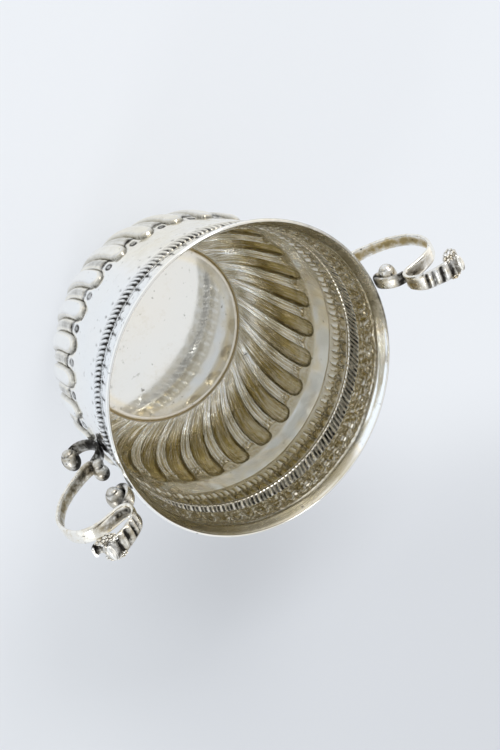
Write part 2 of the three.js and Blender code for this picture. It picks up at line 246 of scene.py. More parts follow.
def wall_zone(name, finish, angles, profile, outer, inner, ring=True):
    """A zone of the wall: the outer face, then the inner one a sheet's thickness behind it in
    reverse order. Each is (relief, tarnish, oxide), with relief pushed outwards in mm."""
    face = round_wall(angles, profile, outer[0])
    back = round_wall(angles, profile, inner[0] - SHEET)
    shape = face.shape[:2]
    masks = []
    for mask in (1, 2):
        inside = np.broadcast_to(inner[mask], shape)[::-1]
        masks.append(np.concatenate([np.broadcast_to(outer[mask], shape), inside]))
    skin = (np.concatenate([face, back[::-1]]), masks[0], masks[1], ring)
    return metal_mesh(name, [skin], finish, "bowl_body")


def belly_height(turn):
    """Height at a share of the belly's quarter turn: the shoulder less the belly's drop times
    cos(quarter turn) to the power 2 / fullness."""
    drop = np.cos(turn * math.pi / 2) ** (2 / BELLY_FULLNESS)
    return SHOULDER_HEIGHT - (SHOULDER_HEIGHT - BASE_HEIGHT) * drop


def belly_line(height):
    """Radius of the belly at each height: a squared ellipse, (1 - drop ** fullness) to the power
    1 / fullness, from the base's radius to the shoulder's."""
    drop = np.clip((SHOULDER_HEIGHT - height) / (SHOULDER_HEIGHT - BASE_HEIGHT), 0, 1)
    swell = np.sqrt(1 - drop**BELLY_FULLNESS) ** (2 / BELLY_FULLNESS)
    return BASE_RADIUS + (SHOULDER_RADIUS - BASE_RADIUS) * swell


def wall_profile(height):
    """(radius, height, outward direction) of the wall's outer face. To the belly's radius come a
    straight taper to the neck, flare * share ** 2 in the lip, and a turn outwards over its last
    part, by the way there to the power 1.2. Outward is (dz, -dr) over its length."""
    taper = np.clip((height - SHOULDER_HEIGHT) / (GIRDLE_HEIGHT - SHOULDER_HEIGHT), 0, 1)
    flare = np.clip((height - GIRDLE_HEIGHT) / (RIM_HEIGHT - GIRDLE_HEIGHT), 0, 1)
    turned = np.clip((height - TURN_HEIGHT) / (RIM_HEIGHT - TURN_HEIGHT), 0, 1)
    radius = belly_line(height) + (NECK_RADIUS - SHOULDER_RADIUS) * taper
    radius = radius + LIP_FLARE * flare**2 + LIP_TURN * turned**1.2
    along_r, along_z = np.gradient(radius), np.gradient(height)
    length = np.hypot(along_r, along_z)
    return radius, height, (along_z / length, -along_r / length)


def tooling(angles, z, size, seed):
    """Unevenness of chased work, about -1 to 1: a fifth of the sum of 20 plane waves over the
    unrolled wall, with wavelengths near size in mm and seeded directions and phases."""
    rng = np.random.default_rng(seed)
    ways, phases = rng.uniform(0, math.pi, 20), rng.uniform(0, 6.28, 20)
    total = 0 * (angles + z)
    for way, phase, stretch in zip(ways, phases, rng.uniform(0.7, 1.6, 20)):
        k = 2 * math.pi / (size * stretch)
        turns = round(k * math.cos(way) * NECK_RADIUS)
        total = total + np.sin(turns * angles + k * math.sin(way) * z + phase)
    return total / 5


def hand(seed, size, count):
    """The unevenness of handwork: count random numbers within plus or minus size."""
    return np.random.default_rng(seed).uniform(-size, size, count)


def outer_wear_and_reflection(angles):
    """Tarnish of the wall's outer face: -0.06 where it is worn clean, and 0.16 more on the side at
    -113 degrees, a straw tint that is a painted warm reflection."""
    return 0.16 * rise(np.cos(angles + 1.97), 0.75, 0.22) - 0.06


# Across a lobe and its flute the places crowd together where the chased lines run.
pitch = 2 * math.pi * SHOULDER_RADIUS / LOBES
steps = np.linspace(-0.5, 0.5, 1001)
crowding = ridge(abs(steps), CHASED_LINE, 0.04) + 0.5 * ridge(abs(steps), FINE_LINE, 0.03)
crowding = 1 + 3.4 * crowding
crowding = np.concatenate([[0], np.cumsum((crowding[1:] + crowding[:-1]) / 2)])
across = np.interp(np.linspace(0, crowding[-1], 35)[:-1], crowding, steps)
lobe_turn = (np.arange(LOBES)[:, None] + across[None, :]).reshape(-1)
lobe_of = np.repeat(np.arange(LOBES), len(across))
off = np.tile(across, LOBES)[None, :]
side = abs(off)

# Up the wall they crowd together at the tips. The swirl grows towards the base.
low = belly_height(np.linspace(SEAM_TURN, 0.80, 22) ** ROW_SPREAD)
height = np.concatenate([low, np.linspace(low[-1] + 0.35, 33.2, 31), [35, 37.2, BELLY_TOP]])
profile = wall_profile(height)
drop = np.clip((SHOULDER_HEIGHT - height) / (SHOULDER_HEIGHT - BASE_HEIGHT), 0, 1)
down = 1 - np.arccos(np.clip(drop ** (BELLY_FULLNESS / 2), 0, 1)) / (math.pi / 2)
angles = (lobe_turn * 2 * math.pi / LOBES)[None, :] + (SWIRL * down**SWIRL_POWER)[:, None]
z = height[:, None]
fade = rise(0.97 - down, 0, 0.22)[:, None]

# A lobe is round across and over its tip. Inside the bowl its hollow is a little wider.
tip = TIP_TOP + hand(1, 0.35, LOBES)[lobe_of][None, :]
inside = np.hypot(off / LOBE_HALF, np.clip((z - TIP_SPRING) / (tip - TIP_SPRING), 0, None))
within = np.hypot(off / TROUGH_HALF, np.clip((z - HOLLOW_SPRING) / (tip - HOLLOW_SPRING), 0, None))
lobe = LOBE_RISE * dome(inside, 0.45) * fade
hollow = LOBE_RISE * dome(within, 0.45) * fade
trough = dome(within, 0.25) * rise(z, 2.8, 4)
crest = ridge(within, 1.07, 0.065) * rise(TIP_SPRING + 1 - z, 0, 2)

# A flute ends in a round arch between two lobes, with a panel that swells in it outside.
from_flute = np.clip((0.5 - side) / (0.5 - LOBE_HALF), 0, 1)
arched = 1.3 - 2.1 * np.sqrt(1 - np.clip(from_flute, 0, 0.98) ** 2)
end = FLUTE_END + arched + hand(2, 0.3, LOBES)[lobe_of][None, :]
in_flute = rise(side, LOBE_HALF, 0.03) * rise(end - z, 0, 0.7)
flute = -FLUTE_DEPTH * in_flute * (1 - 0.45 * from_flute**2) * fade
panel = in_flute * fade * (1.3 * dome(from_flute, 0.5) - 0.5)

# The chased lines, the punched rings and the strokes of the tools.
outline = ridge(inside, 1.03, 0.075) * rise(tip + 1.2 - z, 0, 0.4) * (side <= LOBE_HALF * 1.3)
outline = outline * np.maximum(fade, 0.35)
fine = ridge(side, FINE_LINE, 0.02) * rise(end - z, 0.2, 0.8) * np.maximum(fade, 0.25)
flute_lip = ridge(z, end, 0.45) * rise(side, LOBE_HALF, 0.03)
from_ring = np.hypot((0.5 - side) * pitch / 1.15, (z - RING_HEIGHT) / 1.5)
over_flute = rise(z, FLUTE_END - 0.6, 1.2)
ring_punch = ridge(from_ring, 0.9, 0.24) * over_flute
punched = rise(1.0 - from_ring, 0, 0.2) * over_flute
work = tooling(angles, z, 4.0, 11)
lengths = np.hypot(np.diff(profile[0]), np.diff(height))
along = np.concatenate([[0], np.cumsum(lengths)])[:, None]
from_ridge = (off - 0.5 * np.sign(off)) * pitch
strokes = 1.5 * from_ridge + 2.7 * along + work + 2.0 * lobe_of[None, :]
on_ridge = rise(side, LOBE_HALF * 1.06, 0.03) * rise(end - z, 0, 0.7) * rise(z, 5, 6)
hatch = np.sin(strokes) * on_ridge * rise(z, 21.5, 3)

# Outside, the lines hold black oxide. Painted shade darkens the middle of each panel and one side of
# each lobe, weaker on the side of the painted warm reflection.
planished = 0.1 * tooling(angles, z, 15.0, 10) * rise(z, 27, 6)
outer_relief = lobe + panel - 0.2 * outline - 0.12 * ring_punch + 0.03 * work * fade + planished
# Brown by the lobes' edges is tarnish along the lines, and brown in the middle of each panel is painted
# shade that rounds them.
edge_tarnish_and_shade = 0.45 * ridge(inside, 1.0, 0.2) + 0.3 * ridge(from_flute, 0.2, 0.3) * in_flute
outer_brown = outer_wear_and_reflection(angles) + edge_tarnish_and_shade * fade
outer_black = outline * (0.5 + 0.3 * rise(z, 22, 7)) + 1.1 * flute_lip + 0.9 * ring_punch
outer_black = np.clip(outer_black + 0.55 * punched, 0, 1)
painted_lobe_shade = ridge(from_flute, 0.1, 0.5) * in_flute * ridge(z, 21.5, 5)
painted_lobe_shade = painted_lobe_shade + 0.7 * ridge(inside, 0.8, 0.2) * ridge(off, 0.16, 0.12)
# The painted shade is weaker on the side of the painted warm reflection.
overlay = 0.4 - 2 * (outer_wear_and_reflection(angles) + 0.06)
outer_black = np.clip(outer_black + overlay * painted_lobe_shade * fade, 0, 1)

# Inside, the hollows are brown and the crests beside them bright. The low part is worn cleaner, and
# cleaner still on the far side at 146 degrees, which is a painted highlight.
inner_relief = hollow + flute - 0.07 * outline - 0.24 * crest * fade - 0.16 * fine
inner_relief = inner_relief - 0.07 * ring_punch - 0.1 * hatch + (0.03 + 0.05 * trough) * work * fade
wear_and_highlight = (0.2 + 0.34 * rise(np.cos(angles - 2.55), 0.35, 0.5)) * rise(15 - z, 0, 10)
wear_and_highlight = wear_and_highlight * (1 - 0.75 * trough)
tinged = rise(1.0 - down, 0, 0.12)[:, None]
inner_brown = 0.68 + 0.22 * trough - 1.2 * crest - 0.95 * fine - wear_and_highlight
inner_brown = inner_brown * tinged + 0.1 * (1 - tinged)
inner_brown = inner_brown - 0.12 * np.cos(2 * angles - 4.2) * rise(z, 8, 8)
inner_brown = inner_brown - 0.62 * rise(z, 31.2, 1.5)
inner_brown = inner_brown + 0.22 * tooling(angles, z, 9.0, 15) * rise(z, 30.5, 2)
inner_black = 0.4 * ridge(within, 0.93, 0.05) + 0.5 * ridge(within, 1.2, 0.03)
inner_black = inner_black * rise(TIP_SPRING - z, 0, 2) * fade * rise(z, 6, 8)


def chasing_group():
    """Node group: marks of the chasing tools. Height = 0.36 * ridge * sin(strokes) + 2 * fine *
    (a noise stretched along the lobes - 0.5), and tarnish is the same, turned down."""
    group, given, result = node_group("chasing_marks", (
        ("Swirl", "INPUT", "Vector"),
        ("Strokes", "INPUT", "Float"),
        ("Ridge", "INPUT", "Float"),
        ("Fine", "INPUT", "Float"),
        ("Tarnish", "OUTPUT", "Float"),
        ("Height", "OUTPUT", "Float"),
    ))
    times = partial(maths, group, "MULTIPLY")
    feeds = {"Vector": given["Swirl"], "Scale": 2.6, "Detail": 3}
    streaks = maths(group, "SUBTRACT", new_node(group, "TexNoise", feeds).outputs["Fac"], 0.5)
    stroke = times(maths(group, "SINE", given["Strokes"]), given["Ridge"])
    streak = times(streaks, given["Fine"])
    marks = maths(group, "ADD", times(stroke, 0.36), times(streak, 2.0))
    group.links.new(times(marks, -1.0), result["Tarnish"])
    group.links.new(marks, result["Height"])
    return group


# The inner face has a finish of its own: the same silver, with the strokes of the tools on it.
chased_silver = silver("chased_silver", polish=0.1, cloud=0.6, dents=0.0001)
tree = chased_silver.node_tree
feeds = {}
for mask, output in (("Swirl", "Vector"), ("Strokes", "Fac"), ("Ridge", "Fac"), ("Fine", "Fac")):
    feeds[mask] = new_node(tree, "Attribute", {}, attribute_name=mask.lower()).outputs[output]
marks = new_node(tree, "Group", feeds, node_tree=chasing_group()).outputs
skin_tarnish = tree.nodes["skin"].inputs["Tarnish"]
in_hollows = skin_tarnish.links[0].from_socket
tree.links.new(maths(tree, "ADD", in_hollows, marks["Tarnish"]), skin_tarnish)
cuts = new_node(tree, "Bump", {"Distance": 0.00017, "Height": marks["Height"]})
tree.links.new(cuts.outputs["Normal"], tree.nodes["dents"].inputs["Normal"])

outer = outer_relief, outer_brown, outer_black
inner = inner_relief, inner_brown, inner_black
belly = wall_zone("bowl_belly", RAISED_SILVER, angles, profile, outer, inner)
belly.data.materials.append(chased_silver)
inside_rows = np.arange(2 * len(height)) >= len(height) - 1
finish_of = np.repeat(inside_rows, len(lobe_turn)).astype(np.int32)
belly.data.polygons.foreach_set("material_index", finish_of)
straight = lobe_turn * 2 * math.pi / LOBES
streaked = 0.3 + 0.9 * rise(18 - z, 0, 9) + 0.5 * on_ridge + 0.4 * trough * fade
swirl = SHOULDER_RADIUS * np.cos(straight), SHOULDER_RADIUS * np.sin(straight), 0.05 * along
for mask, kind, field, values in (
    ("swirl", "FLOAT_VECTOR", "vector", np.stack([part + 0 * angles for part in swirl], -1)),
    ("strokes", "FLOAT", "value", strokes),
    ("ridge", "FLOAT", "value", on_ridge * (0.2 + 0.8 * rise(z, 20, 5))),
    ("fine", "FLOAT", "value", streaked - 0.25 * rise(z, 31.5, 1.5)),
):
    held = belly.data.attributes.new(mask, kind, "POINT")
    both_faces = np.concatenate([values, values[::-1]]).astype(np.float32)
    held.data.foreach_set(field, both_faces.reshape(-1))

# The base. The bottom of the sheet is planished flat inside the foot. Inside the bowl a step and a
# groove ring it, where the tarnish gathers and goes golden.

SEAM_LEAN, STEP_RADIUS, GROOVE_RADIUS, STEP_HEIGHT = 0.25, 29.9, 30.8, 0.2
GOLDEN = (0.56, 0.43, 0.2, 1)
seam_height = belly_height(SEAM_TURN**ROW_SPREAD)
seam_radius = belly_line(seam_height)
angles = np.linspace(0, 2 * math.pi, 312, endpoint=False)[None, :]
radius = np.concatenate([
    np.linspace(1.0, 28.6, 9),
    np.linspace(29.0, BASE_RADIUS, 8),
    np.linspace(BASE_RADIUS, seam_radius, 7)[1:],
])
height = np.interp(radius, [BASE_RADIUS, seam_radius], [BASE_HEIGHT, seam_height])
lean = np.interp(radius, [BASE_RADIUS, seam_radius], [0, SEAM_LEAN])
profile = radius, height, (lean, -np.sqrt(1 - lean**2))
step = STEP_HEIGHT * (ridge(radius, STEP_RADIUS, 0.4) - ridge(radius, GROOVE_RADIUS, 0.5))
golden = -0.03 + 0.75 * ridge(radius, 30.7, 0.8) + 0.3 * ridge(radius, 29.4, 2.0)
in_groove = 0.2 * ridge(radius, 30.75, 0.3)
inner = -step[:, None], golden[:, None], in_groove[:, None]
flat_silver = silver("flat_silver", polish=0.06, cloud=0.55, dents=0.00003, stain=GOLDEN, metal=0.66)
wall_zone("bowl_base", flat_silver, angles, profile, (0.0, 0.2, 0.05), inner, ring=False)

# The lower border. Under the girdle a row of half-round leaves is punched from outside, with a
# fringe of small tongues below. Outside only a row of drop-shaped dents shows. A bright fillet
# closes it.

LEAVES, PER_LEAF, BORDER_TOP = 65, 18, 50.0
LEAF_TOP, LEAF_LENGTH, LEAF_HALF, FILLET_HEIGHT, DROP_HEIGHT = 48.9, 3.3, 0.43, 49.35, 47.9
BOTTOM_LINE, TONGUE_FOOT, TONGUE_TOP = 40.3, 41.0, 45.8
count = np.arange(LEAVES * PER_LEAF)
leaf_of = count // PER_LEAF
u = (count % PER_LEAF / PER_LEAF - 0.5)[None, :]
height = np.concatenate([[BELLY_TOP, 39.95, 40.2], np.linspace(40.45, BORDER_TOP, 26)])
profile = wall_profile(height)
z = height[:, None]
angles = (count / PER_LEAF - 0.5)[None, :] * 2 * math.pi / LEAVES + 0 * z
angles = angles + hand(3, 0.006, LEAVES)[leaf_of][None, :] * (1 - abs(2 * u))
wobble = 0.22 * np.sin(9 * angles) + 0.16 * np.sin(23 * angles + 1)
bottom_line = ridge(z, BOTTOM_LINE + wobble * rise(z, BELLY_TOP, 0.5), 0.28)
bottom_line = bottom_line * rise(z, BELLY_TOP, 0.3)
leaf = dome(np.hypot(u / LEAF_HALF, (LEAF_TOP - z) / LEAF_LENGTH), 0.6) * rise(LEAF_TOP - z, 0, 0.4)
slit = ridge(abs(u), 0.5, 0.05) * rise(z, 44.6, 1.0) * rise(48.8 - z, 0, 0.5)
tongue = ridge(abs(u), 0.5, 0.11 + 0.03 * (z - TONGUE_FOOT - 1))
tongue = tongue * rise(z, TONGUE_FOOT, 1.2) * rise(TONGUE_TOP - z, 0, 1.0)
small_tongue = ridge(u, 0, 0.09) * rise(z, TONGUE_FOOT + 0.8, 1.0)
small_tongue = small_tongue * rise(TONGUE_TOP - 0.4 - z, 0, 1.0)
fillet = ridge(z, FILLET_HEIGHT, 0.34)
drops = ridge(np.hypot((0.5 - abs(u)) * 4.4, (z - DROP_HEIGHT) / 1.5), 0, 0.42)
strength = 1 + hand(4, 0.3, LEAVES)[leaf_of][None, :]
work = tooling(angles, z, 1.7, 12) * rise(z, 40.6, 0.6) * rise(49.0 - z, 0, 0.4)
inner_relief = (0.42 * leaf - 0.25 * slit - 0.45 * tongue - 0.3 * small_tongue) * strength
inner_relief = inner_relief + 0.1 * bottom_line - 0.3 * fillet + 0.02 * work
planished = 0.1 * tooling(angles, z, 15.0, 10) * rise(GIRDLE_HEIGHT - z, 0, 6)
outer_relief = 0.2 * inner_relief - 0.15 * drops + planished
inner_brown = 0.34 + 0.34 * rise(np.cos(angles - 1.2), 0.3, 0.6) + 0.15 * leaf
inner_brown = inner_brown + 0.25 * ridge(abs(u), 0.25, 0.1) * rise(z, TONGUE_FOOT, 1)
inner_brown = np.clip(inner_brown - 0.5 * tongue - 0.3 * small_tongue - 0.45 * fillet, 0, 1)
round_leaf = 0.5 * ridge(leaf, 0.2, 0.18) * rise(z, 45, 0.5) * strength
inner_black = np.clip(0.15 * bottom_line + round_leaf + 0.3 * slit, 0, 1)
outer = outer_relief, outer_wear_and_reflection(angles), 0.6 * drops
inner = inner_relief, inner_brown, inner_black
wall_zone("bowl_lower_border", RAISED_SILVER, angles, profile, outer, inner)

# The roped girdle. A cord is chased round the neck: 182 slanting strands stand out of the sheet,
# with a sharp groove between each two. Inside the bowl each strand is a dark hollow between
# bright edges.

STRANDS, PER_STRAND, GIRDLE_TOP = 182, 10, 55.1
STRAND_RISE, HOLLOW_DEPTH, SLANT = 0.85, 0.5, math.radians(2.3)
count = np.arange(STRANDS * PER_STRAND)
strand_of = count // PER_STRAND
height = np.concatenate([[BORDER_TOP], np.linspace(50.15, 54.95, 11), [GIRDLE_TOP]])
profile = wall_profile(height)
share = (height[:, None] - BORDER_TOP) / (GIRDLE_TOP - BORDER_TOP)
angles = (count / PER_STRAND)[None, :] * 2 * math.pi / STRANDS + SLANT * (1 - share) ** 1.4
angles = angles + hand(5, 0.004, STRANDS)[strand_of][None, :]
v = 2 * (count % PER_STRAND / PER_STRAND)[None, :] - 1
strand = dome(v, 0.7) * np.clip(4 * share * (1 - share), 0, 1) ** 0.45
groove = 1.5 * abs(v) ** 1.8 * rise(share, -0.1, 0.9) + 0.5 * ridge(share, 1, 0.08)
dark = np.clip((0.7 - abs(v)) / 0.26, 0, 1) * rise(share, 0.02, 0.12)
outer = STRAND_RISE * strand, outer_wear_and_reflection(angles), np.clip(groove, 0, 1) * rise(share, 0, 0.05)
inner = HOLLOW_DEPTH * strand, 0.04 + 0.3 * dark, 0.9 * dark
cord_silver = silver("cord_silver", polish=0.09, cloud=0.3, dents=0.00006, metal=0.84)
wall_zone("bowl_girdle", cord_silver, angles, profile, outer, inner)

# The upper border and the lip. Over the girdle stands a border of sixty punched arches, each over
# a small leaf, with a round boss between each two. The lip flares plain above it and ends in a
# thickened, rounded edge.

ARCHES, PER_ARCH, ARCH_PITCH = 60, 20, 4.8
ARCH_FOOT, ARCH_SPRING, ARCH_RISE, ARCH_HALF = 57.0, 57.4, 3.5, 0.36
FAN_HEIGHT, OUTER_LINE, BOSS_HEIGHT, LINE_HEIGHT = 55.3, 56.4, 59.4, 62.7
LIP_EDGE, EDGE_RISE = 1.1, 0.44
count = np.arange(ARCHES * PER_ARCH)
arch_of = count // PER_ARCH
u = (count % PER_ARCH / PER_ARCH - 0.5)[None, :]
height = np.concatenate([np.linspace(GIRDLE_TOP, 63.4, 28), [64.2, 65.1, 65.7, RIM_HEIGHT - EDGE_RISE]])
profile = wall_profile(height)
z = height[:, None]
angles = (count / PER_ARCH)[None, :] * 2 * math.pi / ARCHES + 0 * z
angles = angles + hand(6, 0.006, ARCHES)[arch_of][None, :] * (1 - abs(2 * u))
wobble = 0.2 * np.sin(4 * angles + 0.7) + 0.12 * np.sin(13 * angles)
beside = (0.5 - abs(u)) * ARCH_PITCH
in_arch = np.hypot(u / ARCH_HALF, np.clip(z - ARCH_SPRING, 0, None) / ARCH_RISE)
hollow = dome(in_arch, 0.6) * rise(z, GIRDLE_TOP, 0.8)
arch = ridge(in_arch, 1.08, 0.11) * rise(z, ARCH_FOOT, 1.5)
fan = dome(np.hypot(u / 0.3, (z - FAN_HEIGHT) / 2.6), 0.5) * (0.7 + 0.3 * np.cos(u * 40))
fan = fan * rise(z, GIRDLE_TOP, 0.4)
boss = dome(np.hypot(beside / 0.7, (z - BOSS_HEIGHT) / 0.75), 0.5)
socket = ridge(np.hypot(beside, z - BOSS_HEIGHT), 1.15, 0.25)
slit = ridge(abs(u), 0.5, 0.06) * rise(z, 55.4, 0.6) * rise(58.4 - z, 0, 0.7)
work = tooling(angles, z, 1.6, 13) * rise(LINE_HEIGHT - z, 0, 0.5) * rise(z, GIRDLE_TOP, 0.4)
chased = ridge(z, LINE_HEIGHT + wobble, 0.3)
strength = 1 + hand(7, 0.3, ARCHES)[arch_of][None, :]
inner_relief = (0.24 * hollow - 0.12 * arch - 0.22 * fan - 0.16 * boss + 0.08 * socket) * strength
inner_relief = inner_relief + 0.08 * work + 0.13 * chased
outer_relief = 0.7 * inner_relief - 0.18 * slit - 0.1 * ridge(z, OUTER_LINE, 0.3)
outer_black = 0.9 * slit + 0.8 * ridge(abs(u), 0.5, 0.07) * rise(z, 55.4, 0.6) * rise(61 - z, 0, 2)
outer_black = np.clip(outer_black + 0.5 * ridge(z, OUTER_LINE, 0.35), 0, 1)
dent = ridge(np.hypot(beside / 0.75, (z - OUTER_LINE - 0.5) / 1.1), 0, 0.8)
outer_black = np.maximum(outer_black, dent)

# The lip is browner than the border. A painted highlight clears the tarnish from its far side, and
# painted shade darkens it by the left handle.
inner_brown = 0.3 - 0.06 * np.cos(angles - 2.7) + 0.42 * hollow
inner_brown = inner_brown - 0.45 * fan - 0.5 * boss - 0.45 * arch - 0.25 * work
inner_brown = np.clip(inner_brown, 0, 1) * rise(LINE_HEIGHT + 0.6 - z, 0, 0.6)
painted_far_highlight = rise(np.cos(angles - 2.39), 0.86, 0.1)
inner_brown = inner_brown + 0.06 + (0.52 - 0.8 * painted_far_highlight) * rise(z, TURN_HEIGHT, 0.6)
inner_brown = inner_brown - 0.12 * rise(z, 64.2, 1.8) + 0.1 * tooling(angles, 0.4 * z, 9.0, 14)
# Painted shade by the left handle, put in as oxide.
dim = 0.35 * ridge(angles, 2.97, 0.26) + 0.25 * ridge(angles, 3.5, 0.5)
dim = dim * rise(z, LINE_HEIGHT, 0.6)
inner_black = dim + 0.4 * chased + 0.25 * socket + 0.3 * slit
inner_black = inner_black + 0.3 * ridge(in_arch, 0.88, 0.1) * rise(z, ARCH_FOOT, 1.5)
inner_black = np.clip(inner_black, 0, 1)

# Its edge is half an ellipse from the outer face to the inner one.
thick = SHEET + (LIP_EDGE - SHEET) * rise(z, 63.6, 2.2)
face = round_wall(angles, profile, outer_relief)
back = round_wall(angles, profile, inner_relief - thick)
middle, half = (face[-1] + back[-1]) / 2, (face[-1] - back[-1]) / 2
bend = np.linspace(0, math.pi, 9)[1:-1, None, None]
edge = middle + half * np.cos(bend) + np.array([0, 0, EDGE_RISE]) * np.sin(bend)
shell = np.concatenate([face, edge, back[::-1]])
# The rolled edge takes the painted shade by the left handle, as tarnish and oxide.
along_edge = np.ones((len(bend), 1)) * dim[-1]
brown = np.concatenate([outer_wear_and_reflection(angles), 1.2 * along_edge, inner_brown[::-1]])
black = np.concatenate([outer_black, 1.6 * along_edge, inner_black[::-1]])
metal_mesh("bowl_lip", [(shell, brown, black, True)], RAISED_SILVER, "bowl_body")

# The foot. A low ring of moulded wire, soldered under the base. It has a rounded bead with a
# fillet over it, and its flat underside is worn bright by standing.

moulding = np.array([
    [29.0, 0.2], [29.2, 0.0], [30.2, 0.0], [31.2, 0.0], [31.45, 0.12],
    [31.6, 0.45], [31.6, 0.95], [31.45, 1.3], [31.15, 1.45], [31.1, 1.6],
    [31.1, 2.1], [31.1, 2.25], [30.2, 2.25], [29.0, 2.25], [29.0, 1.2],
])
angles = np.linspace(0, 2 * math.pi, 416, endpoint=False)[None, :]
far, up = moulding[:, :1], moulding[:, 1:]
shell = np.stack([far * np.cos(angles), far * np.sin(angles), up + 0 * angles], -1)
black = np.array([0.3, 0, 0, 0, 0, 0, 0, 0.2, 0.9, 0.8, 0.3, 0.9, 0.9, 0.9, 0.6])[:, None]
metal_mesh("foot_wire", [(shell, 0.1, black, True)], RAISED_SILVER, "foot_ring")

# The handles' bars. Each is one casting: a ribbon that starts at a pair of beads inside the finger
# loop, runs round it, turns back in a tight curl over the lip and swells into a ribbed
# thumb-piece.

CAST_SILVER = silver("cast_silver", polish=0.18, cloud=1.9, dents=0.0004, stain=GOLDEN)
SEAT_X, LOOP_LOW, LOOP_HIGH, REACH = 50.85, 44.15, 74.85, 21.2
BAR_WIDTH, HEEL_WIDTH, BEND_WIDTH, THUMB_WIDTH, END_WIDTH = 4.2, 5.0, 5.0, 5.8, 6.4
BAR_THICKNESS, THUMB_THICKNESS, AROUND = 1.5, 1.9, 44
CUT_DEPTH, RIB_SWELL = 0.7, 0.3
RIB_CUTS = (8.8, 0.4), (6.8, 0.5), (4.1, 0.7), (0.9, 0.8)
loop = np.array([
    [0, 0.055], [0.06, 0], [0.187, 0.005], [0.38, 0.059], [0.58, 0.134], [0.745, 0.225],
    [0.868, 0.336], [0.953, 0.446], [1, 0.59], [0.986, 0.759], [0.896, 0.896], [0.754, 0.971],
    [0.589, 0.997], [0.437, 1], [0.32, 1], [0.23, 1.03],
])
thumb = np.array([[0, 0.25], [0.036, 0.468], [0.18, 0.677], [0.418, 0.83], [0.7, 0.935], [1, 1]])
bar_path = np.concatenate([
    loop * [REACH, LOOP_HIGH - LOOP_LOW] + [SEAT_X, LOOP_LOW],
    thumb * [11, 12.4] + [SEAT_X + 0.19 * REACH, LOOP_HIGH],
])


def along_path(places, shares):
    """Points and tangents at shares of the length of a smooth curve through places: cubic spans
    whose end slopes are the mean slopes of the two neighbouring chords."""
    gaps = np.linalg.norm(np.diff(places, axis=0), axis=1)
    at = np.concatenate([[0], np.cumsum(gaps)])
    slope = np.gradient(places, at, axis=0)
    close = np.linspace(0, at[-1], 2000)
    k = np.clip(np.searchsorted(at, close) - 1, 0, len(gaps) - 1)
    t = ((close - at[k]) / gaps[k])[:, None]
    g = gaps[k][:, None]
    curve = (
        (2 * t**3 - 3 * t**2 + 1) * places[k] + (t**3 - 2 * t**2 + t) * g * slope[k]
        + (3 * t**2 - 2 * t**3) * places[k + 1] + (t**3 - t**2) * g * slope[k + 1]
    )
    run = np.concatenate([[0], np.cumsum(np.linalg.norm(np.diff(curve, axis=0), axis=1))])
    run /= run[-1]
    point, ahead, behind = (
        np.stack([np.interp(shares + shift, run, curve[:, i]) for i in (0, 1)], -1)
        for shift in (0, 1e-3, -1e-3)
    )
    tangent = ahead - behind
    return point, tangent / np.linalg.norm(tangent, axis=1)[:, None]


def ribbon(places, shares, width, thickness, dish_left, dish_right, ribs=0):
    """A bar bent along places in the XZ plane. Its section is |cos| ** 0.62 across by |sin| **
    0.75 through, hollowed on each side by dish * depth, with depth (1 - v ** 2) ** 1.5 and v from
    -1 to 1 across. Ribs stand on the left side. Gives the points, v, depth and the left side."""
    point, tangent = along_path(places, shares)
    turn = np.linspace(0, 2 * math.pi, AROUND, endpoint=False)[None, :]
    c, s = np.cos(turn), np.sin(turn)
    v = np.sign(c) * abs(c) ** 0.62
    depth = (1 - v**2) ** 1.5
    dish = np.where(s < 0, dish_left[:, None], dish_right[:, None])
    through = np.sign(s) * abs(s) ** 0.75 * thickness[:, None] / 2 * (1 - dish * depth)
    through = through - np.where(s < 0, ribs, 0) * rise(0.97 - abs(v), 0, 0.25)
    x = point[:, :1] + tangent[:, 1:] * through
    up = point[:, 1:] - tangent[:, :1] * through
    return np.stack([x, v * width[:, None] / 2 + 0 * x, up], -1), v, depth, s < 0


def bead(middle, sizes, rows=14, columns=22, lean=0.0, swell=1.0):
    """An ellipsoid: (cos a cos b, cos a sin b, sin a) times swell and its half sizes, then turned
    about Y by lean."""
    a = np.linspace(-math.pi / 2, math.pi / 2, rows + 2)[1:-1, None]
    b = np.linspace(0, 2 * math.pi, columns, endpoint=False)[None, :]
    x, y = np.cos(a) * np.cos(b) * sizes[0] * swell, np.cos(a) * np.sin(b) * sizes[1] * swell
    up = (np.sin(a) + 0 * b) * sizes[2] * swell
    c, s = math.cos(lean), math.sin(lean)
    return np.stack([middle[0] + c * x + s * up, middle[1] + y, middle[2] - s * x + c * up], -1)


def side_shade(grid, middle, way):
    """Painted shade on the side of a ball that faces one way: a smooth step of the cosine to it."""
    out = grid - middle
    return rise(out @ way / np.linalg.norm(out, axis=-1), -0.1, 0.9)


